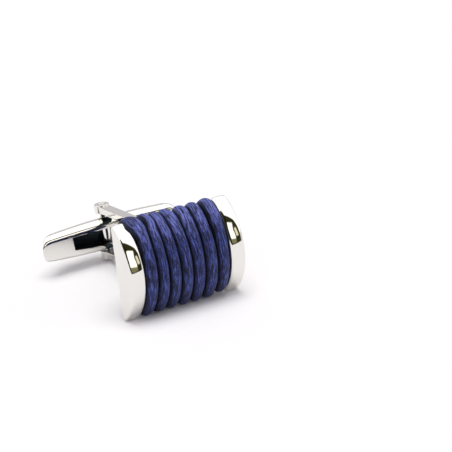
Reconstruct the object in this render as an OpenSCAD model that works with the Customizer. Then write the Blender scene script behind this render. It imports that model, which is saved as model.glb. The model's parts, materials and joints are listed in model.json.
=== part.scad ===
// Cufflink with a cord-wound spool face and a swivel toggle, lying as it rests on a table.
// The spool lies along X, its domed front faces -Y, and the post runs back along +Y.

/* [Spool] */
// Length of the spool over both end caps
spool_length = 16.3; // [16.1:0.1:18]
// Radius of the domed front of an end cap
cap_radius = 7.4; // [7:0.1:7.4]
// Depth of an end cap, from its flat back to the top of the dome
cap_depth = 4.07; // [3.7:0.01:4.1]
// Thickness of an end cap
cap_thickness = 2.1; // [1.5:0.05:2.2]
// Rounding of the cap's two back corners
cap_corner = 0.56; // [0.4:0.02:0.8]

/* [Cord] */
// Diameter of the waxed cord
cord_d = 1.66; // [1.4:0.02:1.66]
// Number of turns that show on the front
turns = 7; // [3:2:7]
// How far the cord stands proud of the caps at the front
cord_proud = 0.05; // [0:0.05:0.3]
// Radius of the cord's middle line over the domed front
wrap_radius = 6.96; // [6.6:0.02:7.4]
// Height of the centre of each bend over the core's edge
bend_height = 4.42; // [4.2:0.02:4.6]
// Radius of the cord's middle line round the core's edge
bend_radius = 0.95; // [0.9:0.05:1.1]

/* [Fork] */
// Width of the post and its legs along the spool
leg_width = 1.42; // [1:0.02:1.5]
// Thickness of a leg
leg_thickness = 0.96; // [0.7:0.02:1.1]
// Half the height over both legs at the root
fork_root_height = 3.3; // [3:0.05:3.8]
// Half the height over both legs at the tip
fork_tip_height = 3.52; // [3.1:0.02:4]
// Distance from the caps' back to the far end of the legs
fork_reach = 19.2; // [16:0.2:22]
// Radius of the round end of a leg
ear_radius = 1; // [0.8:0.05:1.1]
// How far a leg's round end stands above its bar
ear_step = 0.13; // [0.05:0.01:0.2]

/* [Toggle] */
// Length of the toggle's outline, whose tips the slanted ends cut off
toggle_length = 20.4; // [19.6:0.1:20.6]
// Length of the toggle along its back, between the slanted ends
toggle_back_length = 12; // [12:0.2:15]
// Radius of the toggle at its middle
toggle_radius = 2.1; // [1.9:0.05:2.3]
// Radius of the toggle where its round ends begin
toggle_end_radius = 1.74; // [1.6:0.02:1.85]
// Length of each round end
toggle_end_length = 1.7; // [1.6:0.05:1.7]
// Distance from the toggle's middle line to its flattened front
toggle_front = 1.28; // [1.24:0.02:1.4]
// How far the flattened front bows back at the toggle's ends
toggle_bow = 0.22; // [0.1:0.02:0.3]
// Angle by which the flattened front faces downward
toggle_lean = 8; // [0:1:10]
// Distance from the caps' back to the toggle's middle line
toggle_reach = 17.5; // [17.3:0.1:17.7]
// Radius of the pin
pin_radius = 0.45; // [0.3:0.05:0.6]
// Radius of the pin's barrel, which shows in the window
barrel_radius = 0.8; // [0.65:0.05:0.8]
// Length of the window in the front
window_length = 11; // [10:0.5:13]
// Height of the window's upper edge over the toggle's middle line
window_top = 0.9; // [0.7:0.05:1]
// Depth of its lower edge below the middle line, beside the pin
window_bottom = 1.3; // [1:0.05:1.3]
// How much higher that edge lies at the window's ends
window_rise = 0.4; // [0:0.05:0.6]
// Distance from the toggle's middle line to the window's back
window_back = 1; // [0.8:0.05:1.1]

/* [Hidden] */
$fn = 96;

// Clearance between pieces that do not move
gap = 0.05;
// Radial clearance of the pin in the toggle's bore, and of its barrel
pin_clearance = 0.03;
barrel_clearance = 0.05;
// Wider than any outline that a half plane cuts
far = 30;

// Cap outline: the dome's centre lies behind the flat back
cap_centre = cap_radius - cap_depth;
cap_corner_z = sqrt(pow(cap_radius - cap_corner, 2) - pow(cap_centre + cap_corner, 2));

// Cord route in the section across the spool, as [y, z]
cord_r = cord_d / 2;
wind_length = spool_length - 2 * cap_thickness;
pitch = (wind_length - 2 * gap) / turns;
front_y = -cap_depth - cord_proud + cord_r + gap;
wrap_centre = front_y + wrap_radius;
bend_y = wrap_centre - sqrt(pow(wrap_radius - bend_radius, 2) - pow(bend_height, 2));
bend_start = atan2(bend_height, wrap_centre - bend_y);
back_y = bend_y + bend_radius;
arc_length = 2 * wrap_radius * bend_start * PI / 180;
bend_length = bend_radius * (180 - bend_start) * PI / 180;
back_length = 2 * bend_height;
loop_length = arc_length + 2 * bend_length + back_length;

// Core plate inside the winding
core_radius = wrap_radius - cord_r - 2 * gap;
core_back = back_y - cord_r - 2 * gap;

// How far a turn's crossing reaches round onto the front, and the crossing's whole length
front_crossing = 0.6;
crossing_length = back_length / 2 + bend_length + front_crossing;
// Share of a crossing that eases in, and the same at its end
ease_part = 0.2;

// Cord's two ends, thinner and tucked in over the core's edge
tail_size = 0.65;
tail_length = bend_length + 0.4;
tucked_share = 0.95;
way_start = -arc_length - tucked_share * bend_length;
way_end = (turns - 1) * loop_length + tucked_share * bend_length;

// Rings of the cord's solid: steps on a bend, the back and the front, and room at the ends
cord_sides = 10;
ring_room = 0.2;
bend_steps = 5;
back_steps = 6;
front_steps = 8;
loop_ways = [
    for (i = [0 : bend_steps - 1]) i / bend_steps * bend_length,
    for (i = [0 : back_steps - 1]) bend_length + i / back_steps * back_length,
    for (i = [0 : bend_steps - 1]) bend_length + back_length + i / bend_steps * bend_length,
    for (i = [0 : front_steps - 1]) 2 * bend_length + back_length + i / front_steps * arc_length,
];
cord_ways = [
    way_start,
    for (k = [-1 : turns - 1], s = loop_ways)
        let (way = k * loop_length + s)
        if (way > way_start + ring_room && way < way_end - ring_room) way,
    way_end,
];

// Round throat of the fork, and the stem that joins it to the core between two turns
throat_y = 5.2;
stem_half = 1.2;
stem_start = core_back - 1;
stem_end = throat_y - fork_root_height + leg_thickness / 4;

// Middle of the legs' round ends, their outer face, and the pin's hole through them
ear_y = fork_reach - ear_radius;
ear_top = fork_tip_height + ear_step;
ear_bore = pin_radius + 0.01;
pin_half = ear_top - 0.02;

// Toggle: radius of the long arc that narrows it
taper_radius = pow(toggle_length / 2 - toggle_end_length, 2) / (2 * (toggle_radius - toggle_end_radius));
// Radius of the bow along its front, and how far the pin lies behind its middle line
front_radius = (pow(toggle_length / 2, 2) + pow(toggle_bow, 2)) / (2 * toggle_bow);
pin_back = ear_y - toggle_reach;

// Window: its middle and whole height beside the pin, and half the level part of its lower edge
window_middle = (window_top - window_bottom) / 2;
window_height = window_top + window_bottom;
level_half = 1.8;

// Lying pose: the lower bends of the cord and the end of the lower leg touch the table
rest_run = fork_reach - bend_y;
rest_rise = bend_height - ear_top;
rest_round = bend_radius + cord_r;
rest_tilt = atan2(rest_rise, rest_run) + asin(rest_round / norm([rest_run, rest_rise]));
rest_lift = bend_y * sin(rest_tilt) + bend_height * cos(rest_tilt) + rest_round;
front_most = wrap_centre * cos(rest_tilt) - wrap_radius - cord_r;
back_most = fork_reach * cos(rest_tilt) + ear_top * sin(rest_tilt);
rest_shift = -(front_most + back_most) / 2;

// Places the face's own frame, with its origin at the caps' back, as it lies on the table
module as_it_lies() {
    translate([0, rest_shift, rest_lift]) rotate([-rest_tilt, 0, 0]) children();
}

// Extrudes a section drawn as [y, z] along X, between two places on it
module along_x(from, to) {
    translate([from, 0, 0]) rotate([90, 0, 90]) linear_extrude(to - from) children();
}

// D outline of an end cap, with its two back corners rounded
module cap_outline() {
    k = cap_radius / (cap_radius - cap_corner);
    arc_y = cap_centre - k * (cap_centre + cap_corner);
    arc_z = k * cap_corner_z;
    intersection() {
        translate([cap_centre, 0]) circle(cap_radius);
        polygon([
            [-far, -arc_z], [arc_y, -arc_z], [0, -cap_corner_z],
            [0, cap_corner_z], [arc_y, arc_z], [-far, arc_z],
        ]);
    }
    for (side = [-1, 1])
        translate([-cap_corner, side * cap_corner_z]) circle(cap_corner);
}

// Core plate's outline, a thinner D inside the winding
module core_outline() {
    intersection() {
        translate([wrap_centre, 0]) circle(core_radius);
        translate([core_back - far, -far / 2]) square([far, far]);
    }
}

// Post seen from the side: a stem, a round throat and two legs that spread a little
module fork_outline() {
    translate([stem_start, -stem_half]) square([stem_end - stem_start, 2 * stem_half]);
    difference() {
        translate([throat_y, 0]) circle(fork_root_height);
        translate([throat_y, 0]) circle(fork_root_height - leg_thickness);
        translate([throat_y, -far / 2]) square([far, far]);
    }
    for (side = [-1, 1])
        polygon([
            [throat_y, side * (fork_root_height - leg_thickness)],
            [throat_y, side * fork_root_height],
            [ear_y, side * fork_tip_height],
            [ear_y, side * (fork_tip_height - leg_thickness)],
        ]);
}

// Round end of both legs
module ears() {
    for (side = [-1, 1])
        translate([0, ear_y, side * (ear_top - (leg_thickness + ear_step) / 2)])
            cylinder(r = ear_radius, h = leg_thickness + ear_step, center = true);
}

module spool() {
    color("gainsboro") as_it_lies() {
        difference() {
            union() {
                for (side = [-1, 1])
                    along_x(side * spool_length / 2 - (side > 0 ? cap_thickness : 0),
                            side * spool_length / 2 + (side < 0 ? cap_thickness : 0)) cap_outline();
                along_x(-wind_length / 2 - gap, wind_length / 2 + gap) core_outline();
                along_x(-leg_width / 2, leg_width / 2) fork_outline();
                ears();
            }
            translate([0, ear_y, 0]) cylinder(r = ear_bore, h = far, center = true);
        }
    }
}

// Angle of the cord's outward side from the front, a given way along one loop. A loop runs from
// the front's lower end over the lower bend, the back and the upper bend, then down the front.
function loop_angle(s) =
    s < bend_length ? -bend_start - s / bend_radius * 180 / PI :
    s < bend_length + back_length ? 180 :
    s < 2 * bend_length + back_length ?
        180 - (s - bend_length - back_length) / bend_radius * 180 / PI :
    bend_start - (s - 2 * bend_length - back_length) / wrap_radius * 180 / PI;

// Middle line of the cord as [y, z], the same way along the loop
function loop_middle(s) =
    let (a = loop_angle(s), outward = [-cos(a), sin(a)])
    s < bend_length ? [bend_y, -bend_height] + bend_radius * outward :
    s < bend_length + back_length ? [back_y, s - bend_length - bend_height] :
    s < 2 * bend_length + back_length ? [bend_y, bend_height] + bend_radius * outward :
    [wrap_centre, 0] + wrap_radius * outward;

// Even crossing from 0 to 1 that eases in and out
function ease(u) =
    let (v = 1 / (1 - ease_part))
    u <= 0 ? 0 :
    u < ease_part ? v * u * u / (2 * ease_part) :
    u < 1 - ease_part ? v * (u - ease_part / 2) :
    u < 1 ? 1 - v * (1 - u) * (1 - u) / (2 * ease_part) : 1;

// Place of the middle line along the spool: each turn crosses to the next one behind the core.
// The turns left of the stem cross above it, and those right of it cross below.
function along_spool(way) =
    -(turns - 1) / 2 * pitch + pitch * add([for (k = [0 : turns - 2])
        let (from = k * loop_length
                + (k < (turns - 1) / 2 ? bend_length + back_length / 2 : -front_crossing))
        ease((way - from) / crossing_length)]);

function add(list, i = 0) = i < len(list) ? list[i] + add(list, i + 1) : 0;

// Share of its full size that the cord keeps where its ends are tucked in behind the caps
function fullness(way) =
    1 - (1 - tail_size) * min(1, max(0, tail_length - min(way - way_start, way_end - way)) / tail_length);

// Ring of points round the cord. Its ends shrink towards the nearer cap.
function cord_ring(way) =
    let (
        s = way - loop_length * floor(way / loop_length),
        a = loop_angle(s),
        middle = loop_middle(s),
        full = fullness(way),
        inward = cord_r * (1 - full),
        side = way < way_end / 2 ? -1 : 1,
        x = along_spool(way) + side * inward
    )
    [for (i = [0 : cord_sides - 1])
        let (t = 360 * (i + 0.5) / cord_sides, out = cord_r * full * cos(t))
        [
            x + cord_r * full * sin(t),
            middle[0] - cos(a) * out + cos(a) * inward,
            middle[1] + sin(a) * out - sin(a) * inward,
        ]];

module cord_winding() {
    rings = [for (way = cord_ways) cord_ring(way)];
    n = cord_sides;
    last = len(rings) - 1;
    color("darkslateblue") as_it_lies() polyhedron(
        points = [for (ring = rings) each ring],
        faces = [
            [for (i = [0 : n - 1]) n - 1 - i],
            for (r = [0 : last - 1], i = [0 : n - 1])
                each let (p = r * n + i, q = r * n + (i + 1) % n) [[p, q, p + n], [q, q + n, p + n]],
            [for (i = [0 : n - 1]) last * n + i],
        ],
        convexity = 10);
}

// Half outline of the toggle from its middle line out: a long shallow arc with rounded ends
module toggle_half() {
    half = toggle_length / 2;
    centre_x = half - toggle_end_length;
    centre_r = toggle_radius - taper_radius
        + sqrt(pow(taper_radius - toggle_end_length, 2) - pow(centre_x, 2));
    k = taper_radius / (taper_radius - toggle_end_length);
    arc_x = k * centre_x;
    arc_r = toggle_radius - taper_radius + k * (centre_r - toggle_radius + taper_radius);
    intersection() {
        translate([toggle_radius - taper_radius, 0]) circle(taper_radius, $fn = 1200);
        polygon([
            [0, -half], [centre_r, -half], [arc_r, -arc_x],
            [far, -arc_x], [far, arc_x],
            [arc_r, arc_x], [centre_r, half], [0, half],
        ]);
    }
    for (side = [-1, 1])
        translate([centre_r, side * centre_x]) circle(toggle_end_length);
}

// Toggle seen from above, with its ends slanted in towards the back
module toggle_plan() {
    front_half = toggle_length / 2;
    back_half = toggle_back_length / 2;
    polygon([
        [-front_half, -toggle_radius], [-front_half, -toggle_front],
        [-back_half, toggle_radius], [-back_half, 2 * toggle_radius],
        [back_half, 2 * toggle_radius], [back_half, toggle_radius],
        [front_half, -toggle_front], [front_half, -toggle_radius],
    ]);
}

// Window in the toggle's front: its lower edge drops towards the pin
module window() {
    half = window_length / 2;
    translate([0, window_back, 0]) rotate([90, 0, 0]) linear_extrude(far) polygon([
        [-half, window_top], [-half, window_rise - window_bottom], [-level_half, -window_bottom],
        [level_half, -window_bottom], [half, window_rise - window_bottom], [half, window_top],
    ]);
}

module toggle() {
    color("silver") as_it_lies() translate([0, toggle_reach, 0]) difference() {
        intersection() {
            rotate([0, 90, 0]) rotate_extrude() intersection() {
                toggle_half();
                translate([0, -far / 2]) square([far, far]);
            }
            rotate([toggle_lean, 0, 0]) translate([0, front_radius - toggle_front, 0])
                cylinder(r = front_radius, h = far, center = true, $fn = 1200);
            linear_extrude(far, center = true) toggle_plan();
        }
        window();
        translate([0, pin_back, window_middle])
            cylinder(r = barrel_radius + barrel_clearance, h = window_height, center = true);
        translate([0, pin_back, 0])
            cylinder(r = pin_radius + pin_clearance, h = far, center = true);
    }
}

module pivot_pin() {
    color("lightgray") as_it_lies() translate([0, ear_y, 0]) {
        cylinder(r = pin_radius, h = 2 * pin_half, center = true);
        translate([0, 0, window_middle])
            cylinder(r = barrel_radius, h = window_height - 2 * gap, center = true);
    }
}

spool();
cord_winding();
toggle();
pivot_pin();
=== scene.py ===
"""Cufflink with a cord-wound spool face and a swivel toggle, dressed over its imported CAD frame.

The shapes are drawn in the face's own frame in millimetres, with the caps' flat back at y = 0,
the domed front towards -Y and the spool along X, and then laid down as the CAD solids lie.
"""

import json
import math

import bmesh
import bpy
import numpy as np
from mathutils import Matrix, Vector


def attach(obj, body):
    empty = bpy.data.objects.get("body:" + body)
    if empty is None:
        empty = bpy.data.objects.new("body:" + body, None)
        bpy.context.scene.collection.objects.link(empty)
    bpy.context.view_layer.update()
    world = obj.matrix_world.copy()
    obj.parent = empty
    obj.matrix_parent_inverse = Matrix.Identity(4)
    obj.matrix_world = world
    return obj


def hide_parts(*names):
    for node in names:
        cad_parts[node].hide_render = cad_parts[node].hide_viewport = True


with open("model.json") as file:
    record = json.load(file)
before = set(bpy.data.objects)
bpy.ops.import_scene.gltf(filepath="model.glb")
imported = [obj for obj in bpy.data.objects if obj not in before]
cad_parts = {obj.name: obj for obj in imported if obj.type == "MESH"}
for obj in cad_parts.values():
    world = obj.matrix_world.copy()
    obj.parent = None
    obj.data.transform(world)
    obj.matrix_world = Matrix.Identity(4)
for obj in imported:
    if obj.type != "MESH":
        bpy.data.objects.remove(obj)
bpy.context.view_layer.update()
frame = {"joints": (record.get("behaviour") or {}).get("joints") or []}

bl_info = {
    "name": "Cord-wound cufflink",
    "version": (1, 0, 0),
    "blender": (4, 5, 0),
    "location": "View3D > Sidebar > Cufflink",
    "description": "Dresses the packed cufflink with its polished metal, its wound cord and a stage",
    "category": "Add Mesh",
}

MM = 0.001

# The swivel's axis gives the tilt at which the cufflink lies, and where the face's own frame sits
AXIS_Y = 18.2
swivel = next(j for j in frame["joints"] if j["name"] == "toggle_swivel")
TILT = math.asin(swivel["axis"][1])
SHIFT = swivel["pos_m"][1] / MM - AXIS_Y * math.cos(TILT)
LIFT = swivel["pos_m"][2] / MM + AXIS_Y * math.sin(TILT)


# Placing and meshes

def as_it_lies(points):
    """Points of the face's own frame, in millimetres, as they lie on the table, in metres."""
    p = np.asarray(points, float).reshape(-1, 3)
    y = SHIFT + p[:, 1] * math.cos(TILT) + p[:, 2] * math.sin(TILT)
    z = LIFT - p[:, 1] * math.sin(TILT) + p[:, 2] * math.cos(TILT)
    return np.column_stack([p[:, 0], y, z]) * MM


def in_face_frame(point):
    """A point of the CAD frame, in metres, in the face's own frame in millimetres."""
    y, z = point[1] / MM - SHIFT, point[2] / MM - LIFT
    c, s = math.cos(TILT), math.sin(TILT)
    return point[0] / MM, y * c - z * s, y * s + z * c


def loft(rings, wrap=False):
    """Faces between successive closed rings of the same number of points, with flat ends unless it wraps."""
    count, size = len(rings), len(rings[0])
    faces = []
    for r in range(count if wrap else count - 1):
        a, b = r * size, (r + 1) % count * size
        for i in range(size):
            j = (i + 1) % size
            faces.append((a + i, a + j, b + j, b + i))
    if not wrap:
        faces.append(tuple(reversed(range(size))))
        faces.append(tuple(range((count - 1) * size, count * size)))
    return np.asarray(rings, float).reshape(-1, 3), faces


def join(parts):
    """Several lists of points and faces as one."""
    points, faces = [], []
    for p, f in parts:
        shift = sum(len(q) for q in points)
        points.append(np.asarray(p, float).reshape(-1, 3))
        faces += [tuple(v + shift for v in face) for face in f]
    return np.concatenate(points), faces


def outward(obj):
    """Turns every shell's faces to look out."""
    bm = bmesh.new()
    bm.from_mesh(obj.data)
    bmesh.ops.recalc_face_normals(bm, faces=bm.faces)
    bm.to_mesh(obj.data)
    bm.free()


def smooth(mesh, sharp=32):
    """Shades a mesh smooth, with edges kept sharp above an angle in degrees."""
    mesh.polygons.foreach_set("use_smooth", [True] * len(mesh.polygons))
    mesh.set_sharp_from_angle(angle=math.radians(sharp))


def add_object(name, points, faces, sharp=32):
    """A smooth mesh object that lies as the CAD solids do."""
    mesh = bpy.data.meshes.new(name)
    mesh.from_pydata([tuple(p) for p in as_it_lies(points)], [], faces)
    mesh.update()
    obj = bpy.data.objects.new(name, mesh)
    bpy.context.scene.collection.objects.link(obj)
    outward(obj)
    smooth(mesh, sharp)
    return obj


def cut(obj, cutter):
    """Takes the cutter's solid away from an object."""
    cutter.hide_render = True
    mod = obj.modifiers.new("cut", "BOOLEAN")
    mod.operation = "DIFFERENCE"
    mod.solver = "EXACT"
    mod.object = cutter
    graph = bpy.context.evaluated_depsgraph_get()
    mesh = bpy.data.meshes.new_from_object(obj.evaluated_get(graph))
    obj.modifiers.remove(mod)
    old = obj.data
    obj.data = mesh
    bpy.data.meshes.remove(old)
    mesh.name = obj.name
    bpy.data.objects.remove(cutter)


# Outlines and profiles

def lathe(profile, steps=96, ring=False):
    """Turned solid round the pin's axis from [radius, z] points, or a ring where they run closed."""
    rings = [[(r * math.sin(a), AXIS_Y - r * math.cos(a), z)
              for a in np.linspace(0, 2 * math.pi, steps, endpoint=False)] for r, z in profile]
    return loft(rings, wrap=ring)


def rounded_box(half_w, half_h, corner, side_steps=3, corner_steps=6):
    """Closed outline of a rectangle with rounded corners, as [w, h] points."""
    out = []
    inner_w, inner_h = half_w - corner, half_h - corner
    for cw, ch, turn in ((1, 1, 0), (-1, 1, 90), (-1, -1, 180), (1, -1, 270)):
        for a in np.linspace(turn, turn + 90, corner_steps + 1):
            a = math.radians(a)
            out.append((cw * inner_w + corner * math.cos(a), ch * inner_h + corner * math.sin(a)))
    # Points just inside each corner hold the flats flat
    full = []
    for i, p in enumerate(out):
        q = out[(i + 1) % len(out)]
        full.append(p)
        if math.dist(p, q) > 2 * corner / corner_steps + 0.05:
            d = math.dist(p, q)
            for t in [0.02 / d] + list(np.linspace(0, 1, side_steps + 2)[1:-1]) + [1 - 0.02 / d]:
                full.append((p[0] + (q[0] - p[0]) * t, p[1] + (q[1] - p[1]) * t))
    return full


# Spool: two end caps, the core plate, the stem and the fork

CAP_RADIUS, CAP_DEPTH, CAP_THICK, CAP_CORNER = 7.4, 4.07, 2.1, 0.56
CAP_CENTRE = CAP_RADIUS - CAP_DEPTH
SPOOL_HALF = 8.15
CORE_RADIUS, CORE_CENTRE, CORE_BACK, CORE_HALF = 6.03, 3.72, -0.332, 6.04
LEG_WIDTH, LEG_THICK = 1.42, 0.96
THROAT_Y, ROOT_HEIGHT, TIP_HEIGHT = 5.2, 3.3, 3.52
EAR_RADIUS, EAR_TOP, EAR_EDGE, EAR_BORE = 1.0, 3.65, 0.1, 0.46


def cap_outline(inset):
    """D outline of an end cap as [y, z], shrunk evenly by a distance."""
    out = []
    r = max(CAP_CORNER - inset, 0.06)
    back = inset + r
    corner_z = math.sqrt((CAP_RADIUS - back) ** 2 - (CAP_CENTRE + back) ** 2)
    turn = math.atan2(corner_z, CAP_CENTRE + back)
    for a in np.linspace(-turn, turn, 161):
        out.append((CAP_CENTRE - (CAP_RADIUS - inset) * math.cos(a), (CAP_RADIUS - inset) * math.sin(a)))
    for a in np.linspace(turn, math.pi, 17)[1:]:
        out.append((-back - r * math.cos(a), corner_z + r * math.sin(a)))
    for k in (0.996, 0.67, 0.33, 0, -0.33, -0.67, -0.996, -1):
        out.append((-inset, k * corner_z))
    for a in np.linspace(-math.pi, -turn, 17)[1:-1]:
        out.append((-back - r * math.cos(a), -corner_z + r * math.sin(a)))
    return out


def cap_profile(crown, inner_round, ridge_round):
    """How far the outline is inset along a cap's thickness, as [distance from inner face, inset]."""
    out = [(0, inner_round + 0.05), (0, inner_round)]
    for a in np.linspace(0, 90, 11)[1:]:
        a = math.radians(a)
        out.append((inner_round * (1 - math.cos(a)), inner_round * (1 - math.sin(a))))
    near, far = inner_round, CAP_THICK - ridge_round
    out += [(t, 0) for t in [near + 0.02, *np.linspace(near + 0.1, far - 0.1, 13), far - 0.02]]
    for a in np.linspace(0, 90, 13):
        a = math.radians(a)
        out.append((CAP_THICK - ridge_round * (1 - math.sin(a)), ridge_round * (1 - math.cos(a))))
    out.append((CAP_THICK, ridge_round + 0.03))
    middle = CAP_THICK / 2
    return [(t, d + crown * ((t - middle) / middle) ** 2) for t, d in out]


def end_cap(side, crown, inner_round, ridge_round):
    """End cap on the left, -1, or on the right, 1, with its edge crowned across."""
    rings = []
    for t, inset in cap_profile(crown, inner_round, ridge_round):
        x = side * (SPOOL_HALF - CAP_THICK + t)
        rings.append([(x, y, z) for y, z in cap_outline(inset)])
    return loft(rings)


def core_plate():
    """Domed plate under the cord, let 0.08 mm into both caps."""
    turn = math.acos((CORE_CENTRE - CORE_BACK) / CORE_RADIUS)
    outline = [(CORE_CENTRE - CORE_RADIUS * math.cos(a), CORE_RADIUS * math.sin(a))
               for a in np.linspace(-turn, turn, 97)]
    outline += [(CORE_BACK, z) for z in (4, 2, 0, -2, -4)]
    let_in = CORE_HALF + 0.08
    rings = [[(x, y, z) for y, z in outline] for x in (-let_in, -CORE_HALF, 0, CORE_HALF, let_in)]
    return loft(rings)


def fork_bar(edge_round):
    """Both legs and the round throat between them, as one bent bar."""
    root = ROOT_HEIGHT - LEG_THICK / 2
    tip = TIP_HEIGHT - LEG_THICK / 2
    end = AXIS_Y - 0.5
    slope = (tip - root) / (AXIS_Y - THROAT_Y)
    path = []
    for y in [end, end - 0.02] + list(np.linspace(end - 1, THROAT_Y + 1, 11)) + [THROAT_Y + 0.3]:
        path.append((y, root + slope * (y - THROAT_Y), -slope, 1))
    for a in np.linspace(90, 270, 49):
        a = math.radians(a)
        path.append((THROAT_Y + root * math.cos(a), root * math.sin(a), math.cos(a), math.sin(a)))
    for y in [THROAT_Y + 0.3] + list(np.linspace(THROAT_Y + 1, end - 1, 11)) + [end - 0.02, end]:
        path.append((y, -root - slope * (y - THROAT_Y), -slope, -1))
    section = rounded_box(LEG_WIDTH / 2, LEG_THICK / 2, edge_round)
    rings = []
    for y, z, ny, nz in path:
        n = math.hypot(ny, nz)
        rings.append([(w, y + h * ny / n, z + h * nz / n) for w, h in section])
    return loft(rings)


def ear(side):
    """Round end of the upper leg, 1, or the lower one, -1, with the pin's hole."""
    low, high, r = TIP_HEIGHT - LEG_THICK, EAR_TOP, EAR_EDGE
    run = [(EAR_BORE, low), (0.75, low), (EAR_RADIUS - r - 0.03, low)]
    for a in np.linspace(0, 90, 8):
        a = math.radians(a)
        run.append((EAR_RADIUS - r * (1 - math.sin(a)), low + r * (1 - math.cos(a))))
    run += [(EAR_RADIUS, low + r + 0.02), (EAR_RADIUS, high - r - 0.02)]
    for a in np.linspace(0, 90, 8):
        a = math.radians(a)
        run.append((EAR_RADIUS - r * (1 - math.cos(a)), high - r * (1 - math.sin(a))))
    run += [(EAR_RADIUS - r - 0.03, high), (0.6, high), (EAR_BORE + 0.04, high), (EAR_BORE, high - 0.04)]
    return lathe([(q, side * z) for q, z in run], 128, ring=True)


def stem(edge_round):
    """Foot of the fork that joins it to the core, flaring towards the fork's throat."""
    rings = []
    for y, half in ((-1.3, 1.2), (0, 1.2), (0.8, 1.2), (1.3, 1.24), (1.7, 1.34), (2.0, 1.5), (2.3, 1.72)):
        rings.append([(w, y, h) for w, h in rounded_box(LEG_WIDTH / 2, half, edge_round)])
    return loft(rings)


# Toggle: a long torpedo with a flattened front, slanted ends, a window and a bore

TOGGLE_Y = 17.5
TOGGLE_RADIUS, TOGGLE_END_RADIUS, TOGGLE_END = 2.1, 1.74, 1.7
TOGGLE_HALF, TOGGLE_BACK_HALF, TOGGLE_BOW = 10.2, 5.6, 0.22
TOGGLE_FRONT, FRONT_LEAN = 1.28, math.radians(8)
TAPER = (TOGGLE_HALF - TOGGLE_END) ** 2 / (2 * (TOGGLE_RADIUS - TOGGLE_END_RADIUS))
PIN_RADIUS, BARREL_RADIUS, RECESS_RADIUS, TOGGLE_BORE = 0.45, 0.8, 0.85, 0.48
# Middle of the toggle's section, and its half axes behind and in front of it
SECTION_Y, SECTION_BACK, SECTION_FRONT = -0.25, 2.35, 1.66
WINDOW_HALF, WINDOW_TOP, WINDOW_BOTTOM, WINDOW_RISE, WINDOW_BACK = 5.5, 0.9, 1.3, 0.4, 1.0
WINDOW_CORNER, WINDOW_LEVEL, WINDOW_BEND = 0.12, 1.8, 2.5


def front_ellipse(t):
    """Upper front of the toggle's full section at an angle t from the front: point and outward side."""
    y, z = SECTION_Y - SECTION_FRONT * math.cos(t), TOGGLE_RADIUS * math.sin(t)
    ny, nz = -math.cos(t) / SECTION_FRONT, math.sin(t) / TOGGLE_RADIUS
    n = math.hypot(ny, nz)
    return y, z, ny / n, nz / n


def toggle_section(ridge_round):
    """Full section of the toggle as [y, z] round its middle line, with its leaning flat front."""
    c, s = math.cos(FRONT_LEAN), math.sin(FRONT_LEAN)
    r = ridge_round
    corners = []
    for side in (1, -1):
        low, high = 0.3, 1.5
        for _ in range(50):
            t = (low + high) / 2
            y, z, ny, nz = front_ellipse(t)
            y, z = y - r * ny, side * (z - r * nz)
            if -y * c - z * s > TOGGLE_FRONT - r:
                low = t
            else:
                high = t
        corners.append((t, y, z, math.atan2(side * nz, -ny)))
    (top, ty, tz, ta), (low, ly, lz, la) = corners
    flat = -FRONT_LEAN
    out = []
    ends = [(ly - r * c, lz - r * s), (ty - r * c, tz - r * s)]
    for k in np.concatenate([[0, 0.012], np.linspace(0.05, 0.95, 37), [0.988, 1]]):
        out.append(tuple(ends[0][i] + (ends[1][i] - ends[0][i]) * k for i in (0, 1)))
    for a in np.linspace(flat, ta, 17)[1:]:
        out.append((ty - r * math.cos(a), tz + r * math.sin(a)))
    for a in np.linspace(top, math.pi / 2, 33)[1:]:
        out.append(front_ellipse(a)[:2])
    for a in np.linspace(math.pi / 2, -math.pi / 2, 65)[1:]:
        out.append((SECTION_Y + SECTION_BACK * math.cos(a), TOGGLE_RADIUS * math.sin(a)))
    for a in np.linspace(math.pi / 2, low, 33)[1:]:
        y, z = front_ellipse(a)[:2]
        out.append((y, -z))
    for a in np.linspace(la, flat, 17)[1:-1]:
        out.append((ly - r * math.cos(a), lz + r * math.sin(a)))
    return np.array(out)


def end_reach(y, q):
    """How far along the toggle its end reaches at y, q of the way out from the middle of its front."""
    front = TOGGLE_FRONT - TOGGLE_BOW
    slope = (TOGGLE_HALF - TOGGLE_BACK_HALF) / (front + TOGGLE_RADIUS)
    slant = TOGGLE_HALF - slope * (y + front)
    nose = TOGGLE_HALF - TOGGLE_END + 1.5 * (1 - q ** 2.4) ** 0.5
    # The slant runs into the round nose without an edge
    blend = 0.25
    return -blend * np.logaddexp(-slant / blend, -nose / blend) + 0.1


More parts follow.
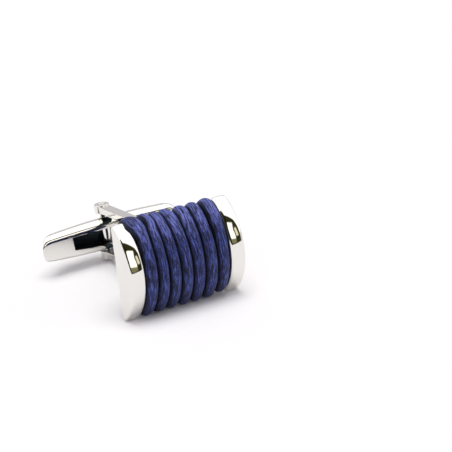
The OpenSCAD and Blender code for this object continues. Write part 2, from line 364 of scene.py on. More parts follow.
def toggle_body(ridge_round):
    """The toggle's long body: its ends slant in from the flat front towards the back."""
    section = toggle_section(ridge_round)
    lean = np.array([-TOGGLE_FRONT * math.cos(FRONT_LEAN), -TOGGLE_FRONT * math.sin(FRONT_LEAN)])

    def narrowed(x):
        """Share of the full section that is left x along the toggle."""
        k = (TOGGLE_RADIUS - TAPER + np.sqrt(TAPER ** 2 - x ** 2)) / TOGGLE_RADIUS
        return k[:, None]

    edge = 0.3  # rounding between the slanted ends and the long sides
    full = end_reach(section[:, 0], 1.0) - edge
    for _ in range(4):
        full = end_reach((section * narrowed(full))[:, 0], 1.0) - edge
    rings = []
    for u in np.linspace(0, 1, 61):
        x = full * u
        rings.append(np.column_stack([x, section * narrowed(x)]))
    last = section * narrowed(full)
    middle = lean * narrowed(full)[0]
    away = np.maximum(np.linalg.norm(last - middle, axis=1), 0.9)
    # Shares of the way out from the front's middle, and how far the edge's rounding drops there
    shares = [(1 - edge * (1 - math.cos(a)) / away, edge * (1 - math.sin(a)))
              for a in np.radians([15, 30, 45, 60, 75, 90])]
    shares += [(shares[-1][0] * k, 0)
               for k in (0.93, 0.86, 0.78, 0.7, 0.6, 0.5, 0.4, 0.3, 0.2, 0.1, 0.03)]
    for q, drop in shares:
        flat = middle + (last - middle) * q[:, None]
        rings.append(np.column_stack([end_reach(flat[:, 0], q) - drop, flat]))
    mirrored = [ring * (-1, 1, 1) for ring in reversed(rings[1:])]
    return loft([[(x, TOGGLE_Y + y, z) for x, y, z in ring] for ring in mirrored + rings])


def window_outline():
    """Window in the toggle's front as [x, z]: the lower edge drops towards the pin."""
    half, low, end = WINDOW_HALF, -WINDOW_BOTTOM, WINDOW_RISE - WINDOW_BOTTOM
    corners = [(-half, WINDOW_TOP), (-half, end), (-WINDOW_LEVEL, low), (WINDOW_LEVEL, low),
               (half, end), (half, WINDOW_TOP)]
    rounds = [WINDOW_CORNER] * 2 + [WINDOW_BEND] * 2 + [WINDOW_CORNER] * 2
    out = []
    for i, (x, z) in enumerate(corners):
        before, after = corners[i - 1], corners[(i + 1) % 6]
        ends = []
        for other in (before, after):
            d = math.dist((x, z), other)
            reach = min(rounds[i], 0.45 * d)
            ends.append((x + (other[0] - x) * reach / d, z + (other[1] - z) * reach / d))
        for t in np.linspace(0, 1, 9):
            a, b, c = (1 - t) ** 2, 2 * t * (1 - t), t * t
            out.append((a * ends[0][0] + b * x + c * ends[1][0], a * ends[0][1] + b * z + c * ends[1][1]))
    return out


def window_cutter(chamfer):
    """Solid that the window takes away, wider at its two ends where the front is bevelled."""
    rings = []
    for y, wide in ((-3.0, 1), (-1.55, 1), (-1.14, 0), (-0.6, 0), (0.4, 0), (WINDOW_BACK, 0)):
        k = 1.6 * chamfer * wide
        rings.append([(x + math.copysign(k, x) if abs(x) > WINDOW_HALF - 0.1 else x, TOGGLE_Y + y, z)
                      for x, z in window_outline()])
    return loft(rings)


# Cord: its middle line in the section across the spool, and its run along it

FRONT_Y, WRAP_RADIUS = -3.24, 6.96
WRAP_CENTRE = FRONT_Y + WRAP_RADIUS
BEND_HEIGHT, BEND_RADIUS = 4.42, 0.95
BEND_Y = WRAP_CENTRE - math.sqrt((WRAP_RADIUS - BEND_RADIUS) ** 2 - BEND_HEIGHT ** 2)
BEND_START = math.atan2(BEND_HEIGHT, WRAP_CENTRE - BEND_Y)
BACK_Y = BEND_Y + BEND_RADIUS
ARC_LENGTH = 2 * WRAP_RADIUS * BEND_START
BEND_LENGTH = BEND_RADIUS * (math.pi - BEND_START)
BACK_LENGTH = 2 * BEND_HEIGHT
LOOP_LENGTH = ARC_LENGTH + 2 * BEND_LENGTH + BACK_LENGTH
FRONT_CROSSING = 0.6
CROSSING_LENGTH = BACK_LENGTH / 2 + BEND_LENGTH + FRONT_CROSSING
TURNS = 7
CORD_RADIUS, WIND_LENGTH = 0.83, 12.0
WAY_START = -ARC_LENGTH - 0.95 * BEND_LENGTH
WAY_END = (TURNS - 1) * LOOP_LENGTH + 0.95 * BEND_LENGTH
TAIL_SIZE, TAIL_LENGTH = 0.65, BEND_LENGTH + 0.4  # share of the size that a tucked end keeps

# Grooves between the turns as measured over the front, at its top, middle and bottom
GROOVES = {
    "top": (-5.75, -4.20, -2.76, -1.15, 0.66, 2.62, 4.30, 6.04),
    "middle": (-6.04, -4.15, -2.60, -0.93, 0.76, 2.50, 4.34, 6.04),
    "low": (-6.04, -4.21, -2.52, -0.84, 0.87, 2.62, 4.46, 6.04),
}
# How much higher, and how far to the right, each turn lies over the upper edge
TOP_LIFT = (0.22, 0.24, 0.2, 0.18, 0.06, 0.02, 0.06)
TOP_SHIFT = (0, 0, 0, -0.08, -0.1, -0.1, 0.15)


def ease(u):
    """Even crossing from 0 to 1 that eases in and out."""
    part, v = 0.2, 1.25
    u = np.clip(u, 0, 1)
    first = v * u * u / (2 * part)
    last = 1 - v * (1 - u) ** 2 / (2 * part)
    return np.where(u < part, first, np.where(u < 1 - part, v * (u - part / 2), last))


def turn_of(way):
    """Turn that a place on the cord belongs to, with each crossing shared by its two turns."""
    total = np.zeros_like(way)
    for k in range(TURNS - 1):
        start = BEND_LENGTH + BACK_LENGTH / 2 if k < (TURNS - 1) / 2 else -FRONT_CROSSING
        total += ease((way - k * LOOP_LENGTH - start) / CROSSING_LENGTH)
    return total


def cord_angle(s):
    """Angle of the cord's outward side from the front, a given way along one loop."""
    a = np.where(s < BEND_LENGTH, -BEND_START - s / BEND_RADIUS, math.pi)
    third = math.pi - (s - BEND_LENGTH - BACK_LENGTH) / BEND_RADIUS
    fourth = BEND_START - (s - 2 * BEND_LENGTH - BACK_LENGTH) / WRAP_RADIUS
    a = np.where(s >= BEND_LENGTH + BACK_LENGTH, third, a)
    return np.where(s >= 2 * BEND_LENGTH + BACK_LENGTH, fourth, a)


def cord_middle(s, a):
    """Middle line of the cord as y and z."""
    oy, oz = -np.cos(a), np.sin(a)
    y = BEND_Y + BEND_RADIUS * oy
    z = -BEND_HEIGHT + BEND_RADIUS * oz
    back = (s >= BEND_LENGTH) & (s < BEND_LENGTH + BACK_LENGTH)
    y, z = np.where(back, BACK_Y, y), np.where(back, s - BEND_LENGTH - BEND_HEIGHT, z)
    upper = (s >= BEND_LENGTH + BACK_LENGTH) & (s < 2 * BEND_LENGTH + BACK_LENGTH)
    z = np.where(upper, BEND_HEIGHT + BEND_RADIUS * oz, z)
    front = s >= 2 * BEND_LENGTH + BACK_LENGTH
    return np.where(front, WRAP_CENTRE + WRAP_RADIUS * oy, y), np.where(front, WRAP_RADIUS * oz, z)


def wander(way, seed, scale):
    """Slow smooth unevenness along the cord, from -1 to 1."""
    rng = np.random.default_rng(seed)
    total = np.zeros_like(way)
    for f in (1, 1.9, 3.3):
        total += np.sin(way * 2 * math.pi * f / scale + rng.uniform(0, 6.28)) / f
    return total / 1.8


def cord_shape(size, proud, sides=44, step=0.14):
    """Rings of the wound cord, how far along it each one lies, and the mask for painted light there: a painted
    highlight over the upper edge and painted shade under the lower one.
    """
    way = np.linspace(WAY_START, WAY_END, int((WAY_END - WAY_START) / step))
    s = way - LOOP_LENGTH * np.floor(way / LOOP_LENGTH)
    a = cord_angle(s)
    y, z = cord_middle(s, a)
    turn = turn_of(way)
    number = np.arange(TURNS)
    # 1 at the upper end of the front, 0 at its middle, -1 at its lower end
    height = np.clip(z / BEND_HEIGHT, -1, 1)
    level = {}
    for name, grooves in GROOVES.items():
        g = np.array(grooves)
        level[name] = (np.interp(turn, number, (g[1:] + g[:-1]) / 2), np.interp(turn, number, g[1:] - g[:-1]))
    plain_x = (turn - (TURNS - 1) / 2) * WIND_LENGTH / TURNS
    up, down = np.clip(height, 0, 1), np.clip(-height, 0, 1)
    mid = 1 - up - down
    x = level["top"][0] * up + level["low"][0] * down + level["middle"][0] * mid
    width = level["top"][1] * up + level["low"][1] * down + level["middle"][1] * mid
    # Behind the core the turns run evenly
    rear = np.clip((y - BEND_Y) / (BACK_Y - BEND_Y), 0, 1)
    rear = rear * rear * (3 - 2 * rear)
    x = x * (1 - rear) + plain_x * rear
    width = width * (1 - rear) + size * rear
    # Both ends shrink and are tucked in behind the caps
    tail = np.minimum(way - WAY_START, WAY_END - way)
    full = 1 - (1 - TAIL_SIZE) * np.clip((TAIL_LENGTH - tail) / TAIL_LENGTH, 0, 1)
    side = np.where(way < WAY_END / 2, -1, 1)
    lower = np.clip((-z - 3.6) / 0.9, 0, 1)
    half_h = (CORD_RADIUS + proud * (1 - rear) * (1 - lower)) * (1 + 0.012 * wander(way, 4, 9.0))
    lift = 0.02 * wander(way, 9, 21.0) * (1 - rear) * (1 - lower)
    # Over the upper edge the turns ride higher to the left, and the outer two lean on the caps
    upper = np.clip(height * 1.4 - 0.2, 0, 1)
    lift = lift + np.interp(turn, number, TOP_LIFT) * upper * (1 - 0.6 * rear)
    x = x + np.interp(turn, number, TOP_SHIFT) * upper * (1 - rear)
    # Right at the bend the first turn also spreads over the cap's corner
    over = np.clip((z - 3.7) / 1.5, 0, 1) ** 1.5
    first, second = np.clip(1 - turn, 0, 1) * over, np.clip(1 - np.abs(turn - 1), 0, 1) * over
    lift = lift + 0.52 * first
    x = x - 0.42 * first + 0.3 * second
    width = width + 1.0 * first - 0.3 * second
    half_w = np.minimum(width / 2 + 0.01, 1.04 + 0.25 * first)
    oy, oz = -np.cos(a), np.sin(a)
    x = x + side * half_w * (1 - full)
    inward = half_h * (1 - full)
    y = y + oy * (lift - inward)
    z = z + oz * (lift - inward)
    # The section is a little squarer than round
    t = 2 * math.pi * (np.arange(sides) + 0.5) / sides
    power = 2 / 2.06
    cw = np.sign(np.sin(t)) * np.abs(np.sin(t)) ** power
    ch = np.sign(np.cos(t)) * np.abs(np.cos(t)) ** power
    px = x[:, None] + (half_w * full)[:, None] * cw
    out = (half_h * full)[:, None] * ch
    py = y[:, None] + oy[:, None] * out
    pz = z[:, None] + oz[:, None] * out
    rings = np.stack([px, py, pz], axis=2)
    middle = rings.mean(axis=1, keepdims=True)
    # Each round end closes over two smaller rings, as [share of its size, distance on]
    ends = []
    for last, before in ((0, 1), (-1, -2)):
        on = middle[last] - middle[before]
        on = on / np.linalg.norm(on)
        ends.append([middle[last] + (rings[last] - middle[last]) * k + on * q
                     for k, q in ((0.85, 0.2), (0.5, 0.36))])
    rings = np.concatenate([ends[0][::-1], rings, ends[1]])
    along = np.concatenate([[way[0] - 0.36, way[0] - 0.2], way, [way[-1] + 0.2, way[-1] + 0.36]])
    # Mask for painted light: 1 over the core's upper edge for a painted highlight, -1 under its lower edge for
    # painted shade
    painted_light_by_height = (np.clip((z - 2.4) / 2.3, 0, 1) - np.clip((-z - 3.3) / 1.7, 0, 1)) * (1 - 0.5 * rear)
    painted_light_by_height = np.concatenate([[painted_light_by_height[0]] * 2, painted_light_by_height, [painted_light_by_height[-1]] * 2])
    return rings, along, painted_light_by_height


def add_cord_uv(obj, sides, along, painted_light_by_height, around=5.4):
    """Pattern spaces of the cord: millimetres along and round it, then the mask of painted light by height and
    how far from its crown.
    """
    pattern = np.zeros((len(obj.data.loops), 2))
    state = np.zeros((len(obj.data.loops), 2))
    for poly in obj.data.polygons:
        verts = [obj.data.loops[k].vertex_index for k in poly.loop_indices]
        columns = [v % sides for v in verts]
        wraps = max(columns) == sides - 1 and min(columns) == 0 and len(verts) == 4
        for k, v, c in zip(poly.loop_indices, verts, columns):
            crown = abs((c + 0.5) / sides - round((c + 0.5) / sides)) * 4
            state[k] = (painted_light_by_height[v // sides], min(crown, 1))
            c = c + sides if wraps and c == 0 else c
            pattern[k] = (along[v // sides], c * around / sides)
    for name, values in (("cord_mm", pattern), ("cord_state", state)):
        obj.data.uv_layers.new(name=name).data.foreach_set("uv", values.ravel())


# Materials

def linear(hex_colour):
    """Linear colour from an sRGB hex value."""
    h = hex_colour.lstrip("#")
    out = []
    for i in (0, 2, 4):
        c = int(h[i:i + 2], 16) / 255
        out.append(c / 12.92 if c <= 0.04045 else ((c + 0.055) / 1.055) ** 2.4)
    return (*out, 1.0)


def hex_of(colour):
    """sRGB hex value of a colour setting."""
    return "#" + "".join(f"{round(255 * c):02x}" for c in colour)


def add_node(tree, kind, settings=None, inputs=None):
    """Adds a shader node with its settings, and its inputs as values or as linked sockets."""
    node = tree.nodes.new(kind)
    for key, value in (settings or {}).items():
        setattr(node, key, value)
    for key, value in (inputs or {}).items():
        if isinstance(value, bpy.types.NodeSocket):
            tree.links.new(value, node.inputs[key])
        else:
            node.inputs[key].default_value = value
    return node


def new_material(name):
    """An empty node material and its node tree."""
    mat = bpy.data.materials.new(name)
    mat.use_nodes = True
    mat.node_tree.nodes.clear()
    return mat, mat.node_tree


def noise(tree, vector, scale, detail, roughness=0.5, dimensions="3D", distortion=0.0):
    """Soft random pattern: its socket, about 0.3 to 0.7."""
    return add_node(tree, "ShaderNodeTexNoise", {"noise_dimensions": dimensions},
                    {"Vector": vector, "Scale": scale, "Detail": detail, "Roughness": roughness,
                     "Distortion": distortion}).outputs["Fac"]


def slanted(tree, vector, degrees, scale):
    """Pattern space turned and then stretched along the cord."""
    return add_node(tree, "ShaderNodeMapping", {"vector_type": "POINT"},
                    {"Vector": vector, "Rotation": (0, 0, math.radians(degrees)),
                     "Scale": scale}).outputs["Vector"]


def spread(tree, value, low, high, start=0.0, end=1.0, kind="LINEAR"):
    """A value carried from between low and high to between start and end."""
    return add_node(tree, "ShaderNodeMapRange", {"interpolation_type": kind},
                    {"Value": value, "From Min": low, "From Max": high,
                     "To Min": start, "To Max": end}).outputs["Result"]


def tones(tree, value, stops):
    """Colours along a value, from (position, linear colour) stops."""
    ramp = add_node(tree, "ShaderNodeValToRGB", {}, {"Fac": value})
    elements = ramp.color_ramp.elements
    for index, (position, colour) in enumerate(stops):
        element = elements[index] if index < 2 else elements.new(position)
        element.position, element.color = position, colour
    return ramp.outputs["Color"]


def relief(tree, height, depth):
    """Surface side for a pattern's relief, its depth in millimetres."""
    return add_node(tree, "ShaderNodeBump", {},
                    {"Height": height, "Strength": 1.0, "Distance": depth * MM}).outputs["Normal"]


def surface(tree, inputs):
    """Principled surface on the material's output."""
    bsdf = add_node(tree, "ShaderNodeBsdfPrincipled", {}, inputs)
    out = add_node(tree, "ShaderNodeOutputMaterial")
    tree.links.new(bsdf.outputs["BSDF"], out.inputs["Surface"])


def rhodium_plate(settings):
    """Rhodium-plated brass, buffed: a near-white mirror with the faint haze of the last buffing."""
    mat, tree = new_material("rhodium_plated_brass_buffed")
    place = add_node(tree, "ShaderNodeTexCoord").outputs["Object"]
    # Patches of buffing haze about 1.6 mm across, and a slow ripple about 2.2 mm long
    haze = noise(tree, place, 1 / (1.6 * MM), 3.0, 0.55)
    ripple = noise(tree, place, 1 / (2.2 * MM), 1.0, 0.4)
    mean = settings.roughness
    surface(tree, {"Base Color": linear(hex_of(settings.colour)), "Metallic": 1.0,
                   "Roughness": spread(tree, haze, 0.3, 0.7, mean * 0.6, mean * 1.6),
                   "Normal": relief(tree, ripple, settings.ripple)})
    return mat


def painted_shade_metal():
    """Painted shade: dark brass with a dull gloss, standing in for the shade and dark reflections inside the
    window and the fork.
    """
    mat, tree = new_material("brass_inside_painted_shade")
    place = add_node(tree, "ShaderNodeTexCoord").outputs["Object"]
    cast = noise(tree, place, 1 / (0.5 * MM), 3.0)
    surface(tree, {"Base Color": tones(tree, cast, [(0, linear("#22282a")), (1, linear("#30383e"))]),
                   "Metallic": 1.0, "Roughness": 0.32, "Normal": relief(tree, cast, 0.01)})
    return mat


def waxed_cotton(settings):
    """Waxed cotton cord: matt navy, with a painted highlight over the upper bends and painted shade where the
    turns meet and under the lower bends.
    """
    mat, tree = new_material("waxed_cotton_cord_navy")
    uv = add_node(tree, "ShaderNodeUVMap", {"uv_map": "cord_mm"}).outputs["UV"]
    # Yarns 0.25 mm wide lie along the cord at a slant; fibres 0.03 mm wide are drawn 0.07 mm wide
    yarn = noise(tree, slanted(tree, uv, 20, (0.6, 3.8, 1.0)), 1.3, 2.0, 0.5, "2D")
    fibre = noise(tree, slanted(tree, uv, 27, (2.2, 11.0, 1.0)), 1.0, 4.0, 0.7, "2D", 0.6)
    both = add_node(tree, "ShaderNodeMix", {"data_type": "FLOAT"},
                    {"Factor": 0.5, "A": yarn, "B": fibre}).outputs["Result"]
    colour = tones(tree, both, [(0.4, linear(hex_of(settings.deep))), (0.64, linear(hex_of(settings.bloom))),
                                (0.5, linear(hex_of(settings.colour)))])
    state = add_node(tree, "ShaderNodeUVMap", {"uv_map": "cord_state"}).outputs["UV"]
    state = add_node(tree, "ShaderNodeSeparateXYZ", {}, {"Vector": state})
    # Painted highlight in streaks over the upper bends
    top_highlight = product(tree, [state.outputs["X"], spread(tree, both, 0.42, 0.6), settings.top_highlight])
    colour = paint(tree, colour, linear("#7f87da"), top_highlight)
    # Painted shade in the grooves where the turns meet, with less sheen there
    groove_shade = spread(tree, state.outputs["Y"], 0.28, 0.72, 0.0, settings.groove_shade, "SMOOTHSTEP")
    colour = paint(tree, colour, linear("#02040a"), groove_shade)
    # Painted shade on the underside of the lower bends
    under = spread(tree, state.outputs["X"], 0.0, -1.0, 0.0, 0.7)
    colour = paint(tree, colour, linear("#0a0e1c"), under)
    surface(tree, {"Base Color": colour, "Metallic": 0.0, "Roughness": spread(tree, fibre, 0.3, 0.7, 0.5, 0.68),
                   "IOR": 1.45, "Specular IOR Level": 0.35, "Sheen Roughness": 0.35,
                   "Sheen Weight": spread(tree, groove_shade, 0.0, 0.7, 0.45, 0.0),
                   "Sheen Tint": linear("#8f93d8"), "Normal": relief(tree, both, settings.nap)})
    return mat


def matt_card():
    """Matt white card: even, with a grain 0.6 mm across that is all but lost at this distance."""
    mat, tree = new_material("matt_white_card")
    grain = noise(tree, add_node(tree, "ShaderNodeTexCoord").outputs["Object"], 1 / (0.6 * MM), 2.0)
    surface(tree, {"Base Color": tones(tree, grain, [(0, linear("#f6f5f6")), (1, linear("#faf9fa"))]),
                   "Roughness": 0.9, "Specular IOR Level": 0.1})
    return mat


def plate():
    """The one plating material that every metal piece shares."""
    found = bpy.data.materials.get("rhodium_plated_brass_buffed")
    return found or rhodium_plate(bpy.context.scene.cufflink_metal)


def inner():
    """The one dark material of painted shade on the window's and the fork's inner faces."""
    return bpy.data.materials.get("brass_inside_painted_shade") or painted_shade_metal()


# Studio light, painted over the directions round the object

def toward(azimuth, elevation):
    """Direction with its azimuth turned from the front, -Y, towards +X."""
    a, e = math.radians(azimuth), math.radians(elevation)
    return Vector((math.sin(a) * math.cos(e), -math.cos(a) * math.cos(e), math.sin(e)))


def cosine_to(tree, direction, axis):
    """How far a direction leans towards an axis, from -1 to 1."""
    return add_node(tree, "ShaderNodeVectorMath", {"operation": "DOT_PRODUCT"},
                    {0: direction, 1: tuple(axis)}).outputs["Value"]


def side_of(tree, direction, first, second, middle, soft):
    """1 on the middle's side of the great circle through two directions, 0 beyond it."""
    normal = toward(*second).cross(toward(*first)).normalized()
    if normal.dot(middle) < 0:
        normal.negate()
    half = math.radians(soft) / 2
    return spread(tree, cosine_to(tree, direction, normal), -half, half, kind="SMOOTHSTEP")


def product(tree, values):
    """All the masks multiplied."""
    total = values[0]
    for value in values[1:]:
        total = add_node(tree, "ShaderNodeMath", {"operation": "MULTIPLY"},
                         {0: total, 1: value}).outputs["Value"]
    return total


def inside(tree, direction, corners, soft):
    """1 within a convex outline of directions, each given as an azimuth and an elevation."""
    middle = sum((toward(*c) for c in corners), Vector())
    edges = [side_of(tree, direction, a, b, middle, soft) for a, b in zip(corners, corners[1:] + corners[:1])]
    return product(tree, edges)


def paint(tree, under, colour, mask):
    """A colour laid over another one where the mask is 1."""
    return add_node(tree, "ShaderNodeMix", {"data_type": "RGBA"},
                    {"Factor": mask, "A": under, "B": colour}).outputs["Result"]


def bright(hex_colour, strength):
    """Light of an sRGB hex colour at a strength."""
    r, g, b, _ = linear(hex_colour)
    return (r * strength, g * strength, b * strength, 1.0)


def studio_world(settings):
    """White surround with the dark wall and the lamps that the metal mirrors from the front."""
    world = bpy.data.worlds.new("studio")
    bpy.context.scene.world = world
    world.use_nodes = True
    tree = world.node_tree
    tree.nodes.clear()
    place = add_node(tree, "ShaderNodeTexCoord").outputs["Generated"]
    d = add_node(tree, "ShaderNodeVectorMath", {"operation": "NORMALIZE"}, {0: place}).outputs["Vector"]
    up = add_node(tree, "ShaderNodeSeparateXYZ", {}, {"Vector": d}).outputs["Z"]
    low = spread(tree, up, 0.2, 0.26, 1.0, 0.0, "SMOOTHSTEP")
    colour = paint(tree, bright("#ffffff", settings.ceiling), bright("#eeecf0", settings.haze), low)
    # Dark wall in front, darkest in its middle
    wall = inside(tree, d, [(-98, -4), (-98, 34), (-16, 66), (26.5, 60), (45, 41), (46, 24), (42, -4)], 2.5)
    colour = paint(tree, colour, bright("#33331c", 1.0), wall)
    black = inside(tree, d, [(-40, -4), (-40, 50), (0, 58), (14, 47), (8, -4)], 8.0)
    colour = paint(tree, colour, bright("#161508", 1.0), black)
    # Lamp on the wall, from two outlines that meet, with a dim strip below and a narrow one beside it
    lamp = bright("#fffdf2", settings.lamp)
    upper = inside(tree, d, [(-20, 28), (-11, 37), (11, 43.5), (33, 36.5), (24.5, 25), (0, 22)], 3.0)
    colour = paint(tree, colour, lamp, upper)
    lower = inside(tree, d, [(-20, 30), (24.5, 30), (27, 14), (24, 3), (13, 3), (-3, 10), (-12, 17)], 3.0)
    colour = paint(tree, colour, lamp, lower)
    dim = inside(tree, d, [(-14, 13), (25, 9), (27, 2), (4, 2)], 3.0)
    colour = paint(tree, colour, bright("#aaa578", settings.lamp * 0.4), product(tree, [dim, wall]))
    side = inside(tree, d, [(30, 12), (30.5, 26.5), (38, 25.5), (38, 11)], 3.0)
    colour = paint(tree, colour, bright("#fbf3cf", settings.lamp * 0.66), side)
    # Behind the object the white surround falls off towards the horizon
    behind = spread(tree, cosine_to(tree, d, toward(151, 0)), 0.25, 0.5, kind="SMOOTHSTEP")
    band = spread(tree, up, 0.46, 0.7, 1.0, 0.0, "SMOOTHSTEP")
    colour = paint(tree, colour, bright("#d2d0d3", 1.0), product(tree, [behind, band]))
    # Matt surfaces gather an even fill and the broad lamp overhead
    front = spread(tree, cosine_to(tree, d, toward(-15, 0)), -0.5, 0.5, kind="SMOOTHSTEP")
    soft = paint(tree, bright("#f5f3fb", settings.fill * 0.7), bright("#f5f3fb", settings.fill * 1.3), front)
    over = spread(tree, cosine_to(tree, d, toward(-10, 87.5)), 0.88, 0.98, kind="SMOOTHSTEP")
    soft = paint(tree, soft, bright("#fffefa", settings.overhead), over)
    path = add_node(tree, "ShaderNodeLightPath")
    colour = paint(tree, soft, colour, path.outputs["Is Glossy Ray"])
    glow = add_node(tree, "ShaderNodeBackground", {}, {"Color": colour, "Strength": 1.0})
    plain = add_node(tree, "ShaderNodeBackground", {}, {"Color": (1, 1, 1, 1), "Strength": 1.0})
    mix = add_node(tree, "ShaderNodeMixShader", {},
                   {0: path.outputs["Is Camera Ray"], 1: glow.outputs["Background"],
                    2: plain.outputs["Background"]})
    out = add_node(tree, "ShaderNodeOutputWorld")
    tree.links.new(mix.outputs["Shader"], out.inputs["Surface"])


# Settings

def colour_property(name, description, default):
    """A colour setting."""
    return bpy.props.FloatVectorProperty(name=name, description=description, subtype="COLOR_GAMMA", size=3,
                                         min=0, max=1, default=default)


class CUFFLINK_PG_metal(bpy.types.PropertyGroup):
    colour: colour_property("Plating", "Colour that the plating reflects", (0.913, 0.907, 0.885))
    roughness: bpy.props.FloatProperty(
        name="Haze", description="Roughness of the buffed plating", default=0.045, min=0, max=0.3)
    ripple: bpy.props.FloatProperty(
        name="Ripple", description="Height of the buffing's slow ripple, in mm", default=0.002, min=0, max=0.05)
    crown: bpy.props.FloatProperty(
        name="Crown", description="How far the caps' edge bulges across its width, in mm",
        default=0.12, min=0, max=0.3)
    ridge: bpy.props.FloatProperty(
        name="Ridge", description="Rounding between a cap's edge and its end face, in mm",
        default=0.22, min=0.02, max=0.5)
    inner_ridge: bpy.props.FloatProperty(
        name="Inner ridge", description="Rounding of a cap's edge beside the cord, in mm",
        default=0.42, min=0.02, max=0.5)
    leg_edge: bpy.props.FloatProperty(
        name="Leg edge", description="Rounding of the legs' long edges, in mm", default=0.12, min=0.02, max=0.4)
    toggle_ridge: bpy.props.FloatProperty(
        name="Toggle ridge", description="Rounding along the toggle's flat, in mm",
        default=0.9, min=0.02, max=1.2)
    chamfer: bpy.props.FloatProperty(
        name="Window chamfer", description="Width of the bevel at the window's ends, in mm",
        default=0.35, min=0, max=0.8)


class CUFFLINK_PG_cord(bpy.types.PropertyGroup):
    colour: colour_property("Cord", "Colour of the waxed cotton", (0.105, 0.145, 0.355))
    deep: colour_property("Between yarns", "Colour between the cord's yarns", (0.02, 0.03, 0.085))
    bloom: colour_property("Fibre ends", "Colour of the fibre ends on the surface", (0.3, 0.355, 0.66))
    width: bpy.props.FloatProperty(
        name="Width", description="Width of a turn behind the core, in mm", default=1.72, min=1.4, max=1.8)
    proud: bpy.props.FloatProperty(
        name="Fullness", description="How much rounder the turns stand on the front, in mm",
        default=0.05, min=0, max=0.2)
    # Strength of the painted highlight over the upper bends
    top_highlight: bpy.props.FloatProperty(
        name="Opened fibres", description="How pale the fibres turn over the upper bends",
        default=0.7, min=0, max=1)
    # Darkness of the painted shade in the grooves between the turns
    groove_shade: bpy.props.FloatProperty(
        name="Pressed sides", description="How dark the turns are where they press together",
        default=0.9, min=0, max=1)
    nap: bpy.props.FloatProperty(
        name="Nap", description="Depth of the fibres on the surface, in mm", default=0.09, min=0, max=0.2)


class CUFFLINK_PG_stage(bpy.types.PropertyGroup):
    ceiling: bpy.props.FloatProperty(
        name="Light", description="Brightness of the white surround", default=1.42, min=0, max=5)
    haze: bpy.props.FloatProperty(
        name="Far table", description="Brightness of the surround near the horizon", default=0.95, min=0, max=5)
    lamp: bpy.props.FloatProperty(
        name="Window light", description="Brightness of the warm lamp at the front", default=1.5, min=0, max=10)
    fill: bpy.props.FloatProperty(
        name="Fill", description="Brightness of the even light on matt surfaces", default=0.56, min=0, max=5)
    overhead: bpy.props.FloatProperty(
        name="Overhead", description="Brightness of the lamp overhead on matt surfaces",
        default=4.95, min=0, max=20)
    floor: bpy.props.FloatProperty(
        name="Floor", description="Length of the floor's sides", subtype="DISTANCE",
        default=3.0, min=0.2, max=20)


# Operators

class CUFFLINK_OT_spool(bpy.types.Operator):
    """Makes the plated spool: both end caps, the core plate, the stem and the fork"""
    bl_idname = "cufflink.spool"
    bl_label = "Spool and fork"

    def execute(self, context):
        m = context.scene.cufflink_metal
        parts = [end_cap(side, m.crown, m.inner_ridge, m.ridge) for side in (-1, 1)]
        parts += [core_plate(), stem(m.leg_edge), fork_bar(m.leg_edge)]
        parts += [ear(side) for side in (-1, 1)]
        obj = add_object("plated_spool", *join(parts))
        obj.data.materials.append(plate())
        obj.data.materials.append(inner())
        # The fork's faces that look into its gap get the dark metal of painted shade
        turn = Matrix.Rotation(TILT, 3, "X")
        for face in obj.data.polygons:
            x, y, z = in_face_frame(face.center)
            normal = turn @ face.normal
            inward = normal.y * min(y - THROAT_Y, 0) + normal.z * z
            face.material_index = 1 if y > 2.4 and abs(x) < 1.05 and inward < -0.6 * abs(z) else 0
        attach(obj, "face")
        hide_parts("spool")
        return {"FINISHED"}


class CUFFLINK_OT_toggle(bpy.types.Operator):
    """Makes the toggle with its flattened front, its window and its bore"""
    bl_idname = "cufflink.toggle"
    bl_label = "Toggle"

    def execute(self, context):
        m = context.scene.cufflink_metal
        obj = add_object("plated_toggle", *toggle_body(m.toggle_ridge))
        cut(obj, add_object("window_cutter", *window_cutter(m.chamfer)))
        for name, radius, levels in (("recess_cutter", RECESS_RADIUS, (-WINDOW_BOTTOM, -0.6, 0.1, WINDOW_TOP)),
                                     ("bore_cutter", TOGGLE_BORE, (-3, 0, 3))):
            cut(obj, add_object(name, *lathe([(radius, z) for z in levels])))
        smooth(obj.data)
        obj.data.materials.clear()
        obj.data.materials.append(plate())
        obj.data.materials.append(inner())
        # Painted shade: the faces inside the window take the dark metal
        for face in obj.data.polygons:
            x, y, z = in_face_frame(face.center)
            deep = TOGGLE_Y - TOGGLE_FRONT + 0.4 < y < TOGGLE_Y + WINDOW_BACK + 0.2
            inside_it = abs(x) < WINDOW_HALF + 0.1 and abs(z) < WINDOW_BOTTOM + 0.05
            face.material_index = 1 if deep and inside_it else 0
        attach(obj, "toggle")
        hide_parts("toggle")
        return {"FINISHED"}


class CUFFLINK_OT_pin(bpy.types.Operator):
    """Makes the pivot pin with the barrel that shows in the toggle's window"""
    bl_idname = "cufflink.pin"
    bl_label = "Pivot pin"

    def execute(self, context):
        # Each end is domed a little; the barrel stands in the window
        dome = [(0.01, 3.645), (0.2, 3.643), (0.36, 3.63), (0.41, 3.61), (PIN_RADIUS, 3.56), (PIN_RADIUS, 3.5)]
        barrel = [(PIN_RADIUS, -1.26), (0.72, -1.26), (0.78, -1.24), (BARREL_RADIUS, -1.19),
                  (BARREL_RADIUS, -1.17), (BARREL_RADIUS, -0.2), (BARREL_RADIUS, 0.77), (BARREL_RADIUS, 0.79),
                  (0.78, 0.83), (0.72, 0.85), (PIN_RADIUS, 0.85)]
        obj = add_object("plated_pin", *lathe([(q, -z) for q, z in dome] + barrel + dome[::-1]))
        obj.data.materials.append(plate())
        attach(obj, "face")
        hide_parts("pivot_pin")
        return {"FINISHED"}


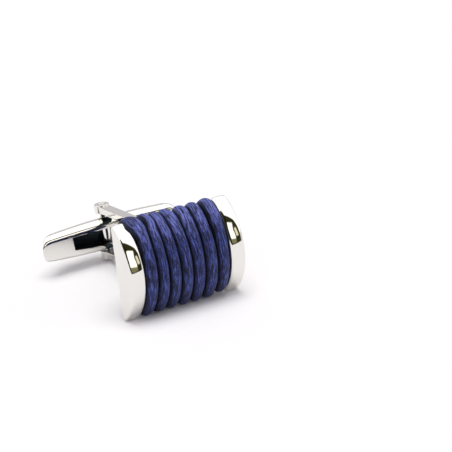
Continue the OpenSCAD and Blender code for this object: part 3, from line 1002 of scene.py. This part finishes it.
class CUFFLINK_OT_cord(bpy.types.Operator):
    """Winds the waxed cord round the core in seven turns"""
    bl_idname = "cufflink.cord"
    bl_label = "Wound cord"

    def execute(self, context):
        c = context.scene.cufflink_cord
        rings, along, painted_light_by_height = cord_shape(c.width, c.proud)
        obj = add_object("wound_cord", *loft(rings), sharp=60)
        add_cord_uv(obj, rings.shape[1], along, painted_light_by_height)
        obj.data.materials.append(waxed_cotton(c))
        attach(obj, "face")
        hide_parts("cord_winding")
        return {"FINISHED"}


class CUFFLINK_OT_stage(bpy.types.Operator):
    """Sets the white floor, the studio light and the camera"""
    bl_idname = "cufflink.stage"
    bl_label = "Stage"

    def execute(self, context):
        s = context.scene.cufflink_stage
        half = s.floor / 2
        mesh = bpy.data.meshes.new("floor")
        steps = 12
        grid = [(half * (2 * i / steps - 1), half * (2 * j / steps - 1), -0.00002)
                for j in range(steps + 1) for i in range(steps + 1)]
        row = steps + 1
        mesh.from_pydata(grid, [], [(j * row + i, j * row + i + 1, (j + 1) * row + i + 1, (j + 1) * row + i)
                                    for j in range(steps) for i in range(steps)])
        floor = bpy.data.objects.new("floor", mesh)
        context.scene.collection.objects.link(floor)
        mesh.materials.append(matt_card())
        studio_world(s)
        place_camera(context.scene)
        scene = context.scene
        scene.view_settings.view_transform = "Standard"
        scene.view_settings.look = "None"
        scene.cycles.use_denoising = True
        return {"FINISHED"}


def place_camera(scene):
    """Long lens from the front left: its aim point is the middle of the caps' flat back."""
    turn, rise, roll = math.radians(29.2), math.radians(22.45), math.radians(-4.0)
    lens_px, away, size = 3211.0, 0.40035, 452
    aim = Vector(as_it_lies([(0, 0, 0)])[0])
    aim_x, aim_y = 173.19, 256.59
    back = Vector((-math.sin(turn) * math.cos(rise), -math.cos(turn) * math.cos(rise), math.sin(rise)))
    right = Vector((math.cos(turn), -math.sin(turn), 0))
    up = back.cross(right)
    r = right * math.cos(roll) + up * math.sin(roll)
    u = -right * math.sin(roll) + up * math.cos(roll)
    ox = (aim_x - size / 2) / lens_px * away
    oy = -(aim_y - size / 2) / lens_px * away
    place = aim + back * away - r * ox - u * oy
    data = bpy.data.cameras.new("camera")
    data.sensor_width = 36
    data.lens = lens_px / size * 36
    data.clip_start, data.clip_end = 0.01, 20
    camera = bpy.data.objects.new("camera", data)
    m = Matrix((r, u, back)).transposed().to_4x4()
    m.translation = place
    camera.matrix_world = m
    scene.collection.objects.link(camera)
    scene.camera = camera


class CUFFLINK_PT_panel(bpy.types.Panel):
    """Lists the cufflink's pieces and their settings"""
    bl_idname = "CUFFLINK_PT_panel"
    bl_label = "Cufflink"
    bl_space_type = "VIEW_3D"
    bl_region_type = "UI"
    bl_category = "Cufflink"

    def draw(self, context):
        layout = self.layout
        for group, operators in (("cufflink_metal", ("cufflink.spool", "cufflink.toggle", "cufflink.pin")),
                                 ("cufflink_cord", ("cufflink.cord",)),
                                 ("cufflink_stage", ("cufflink.stage",))):
            box = layout.box()
            settings = getattr(context.scene, group)
            for name in settings.__annotations__:
                box.prop(settings, name)
            for operator in operators:
                box.operator(operator)


CLASSES = (CUFFLINK_PG_metal, CUFFLINK_PG_cord, CUFFLINK_PG_stage, CUFFLINK_OT_spool, CUFFLINK_OT_toggle,
           CUFFLINK_OT_pin, CUFFLINK_OT_cord, CUFFLINK_OT_stage, CUFFLINK_PT_panel)


def register():
    for cls in CLASSES:
        bpy.utils.register_class(cls)
    bpy.types.Scene.cufflink_metal = bpy.props.PointerProperty(type=CUFFLINK_PG_metal)
    bpy.types.Scene.cufflink_cord = bpy.props.PointerProperty(type=CUFFLINK_PG_cord)
    bpy.types.Scene.cufflink_stage = bpy.props.PointerProperty(type=CUFFLINK_PG_stage)


def unregister():
    del bpy.types.Scene.cufflink_metal, bpy.types.Scene.cufflink_cord, bpy.types.Scene.cufflink_stage
    for cls in reversed(CLASSES):
        bpy.utils.unregister_class(cls)


def main():
    register()
    bpy.ops.cufflink.stage()
    bpy.ops.cufflink.spool()
    bpy.ops.cufflink.cord()
    bpy.ops.cufflink.toggle()
    bpy.ops.cufflink.pin()


if __name__ == "__main__":
    main()
